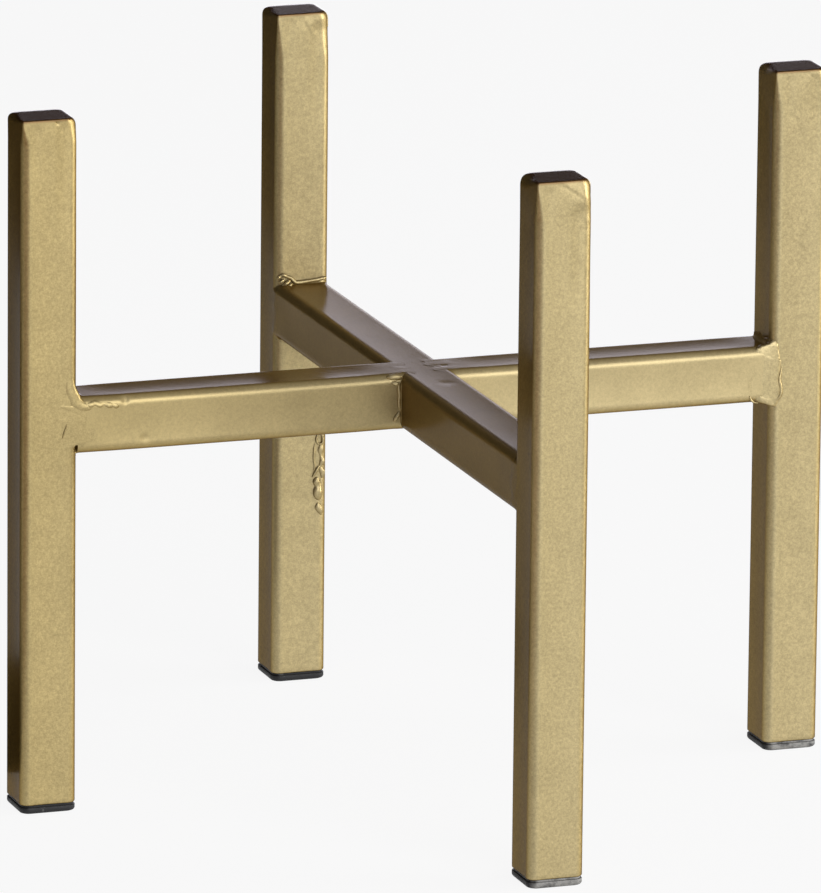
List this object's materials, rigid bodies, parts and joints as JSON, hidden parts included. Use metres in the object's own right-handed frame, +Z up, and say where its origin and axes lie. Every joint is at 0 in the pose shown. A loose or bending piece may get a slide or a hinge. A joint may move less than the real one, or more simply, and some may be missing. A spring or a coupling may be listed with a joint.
{
  "type": "plant stand",
  "caption": "Low square-tube metal plant stand: upright posts held by a flat welded cross at mid height, on which a pot rests between the posts.",
  "frame": {"origin": "on the floor, below the middle of the cross", "axes": "+Z up; +Y along the through bar towards the back post; +X along the arms towards the right post"},
  "size_m": [0.236, 0.236, 0.197],
  "materials": {
    "gold_paint": "satin metallic gold paint on steel",
    "weld_paint": "satin metallic gold paint over ground weld",
    "foot_plastic": "matte black moulded plastic, scuffed"
  },
  "bodies": {
    "root": {"left_post": "gold_paint", "right_post": "gold_paint", "front_post": "gold_paint", "back_post": "gold_paint", "left_cap": "gold_paint", "right_cap": "gold_paint", "front_cap": "gold_paint", "back_cap": "gold_paint", "left_foot": "foot_plastic", "right_foot": "foot_plastic", "front_foot": "foot_plastic", "back_foot": "foot_plastic", "through_bar": "gold_paint", "left_arm": "gold_paint", "right_arm": "gold_paint", "left_post_weld": "weld_paint", "right_post_weld": "weld_paint", "front_post_weld": "weld_paint", "back_post_weld": "weld_paint", "left_arm_weld": "weld_paint", "right_arm_weld": "weld_paint"}
  },
  "joints": []
}
